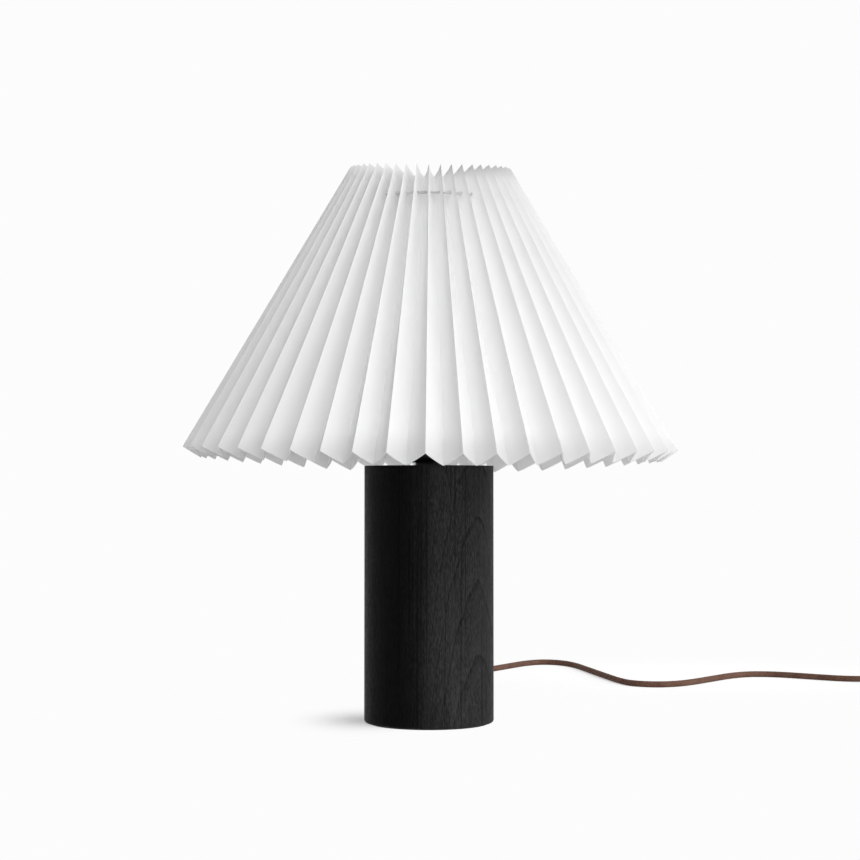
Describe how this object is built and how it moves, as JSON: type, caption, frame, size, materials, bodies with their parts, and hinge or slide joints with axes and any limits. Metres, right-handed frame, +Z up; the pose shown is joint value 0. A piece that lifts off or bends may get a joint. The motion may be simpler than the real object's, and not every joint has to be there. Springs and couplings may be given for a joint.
{
  "type": "pleated table lamp",
  "caption": "Table lamp with a pleated cone shade gathered by a string on a wire carrier, a turned wooden column, lamp holder, bulb, and a textile cord with hand switch and plug.",
  "frame": {"origin": "on the floor under the middle of the column", "axes": "+Z up, -Y the front, +Y the back where the cord leaves the column"},
  "size_m": [0.7169, 0.6786, 0.4298],
  "materials": {
    "black_wood": "black stain, open grain, matte",
    "cast_weight": "as cast",
    "zinc_steel": "zinc plated",
    "felt": "black felt",
    "black_rubber": "matte",
    "brown_textile": "braided",
    "black_plastic": "satin moulded",
    "white_ceramic": "unglazed",
    "brass": "pressed",
    "opal_glass": "opal",
    "nickel": "nickel plated",
    "black_glass": "fused",
    "white_paint": "powder coat",
    "white_paper": "matte, pleated",
    "white_string": "twisted",
    "black_strap": "woven"
  },
  "bodies": {
    "lamp": {"base_body": "black_wood", "base_weight": "cast_weight", "weight_screws": "zinc_steel", "base_cover": "zinc_steel", "cover_screws": "zinc_steel", "felt_pad": "felt", "lamp_pipe": "zinc_steel", "pipe_washer": "zinc_steel", "pipe_nut": "zinc_steel", "strain_relief": "black_rubber", "inner_flex": "brown_textile", "holder_cap": "black_plastic", "holder_shell": "black_plastic", "holder_insert": "white_ceramic", "thread_shell": "brass", "centre_contact": "brass", "side_contact": "brass", "terminal_screws": "brass", "shade_ring": "black_plastic", "bulb_glass": "opal_glass", "bulb_cap": "nickel", "bulb_insulator": "black_glass", "bulb_contact": "nickel", "carrier_hub": "white_paint", "carrier_arms": "white_paint", "carrier_ring": "white_paint", "shade_sheet": "white_paper", "gather_string": "white_string", "cord_lead": "brown_textile", "switch_base": "black_plastic", "switch_cover": "black_plastic", "switch_screws": "zinc_steel", "cord_run": "brown_textile", "cord_coil": "brown_textile", "cord_tie": "black_strap", "plug_body": "black_plastic", "plug_pins": "nickel"},
    "rocker": {"switch_rocker": "black_plastic"}
  },
  "joints": [
    {"name": "rocker_tip", "type": "hinge", "parent": "lamp", "child": "rocker", "pos_m": [0.012, 0.297, 0.0148], "axis": [0.9613, -0.2756, 0], "range_deg": [0, 18]}
  ]
}
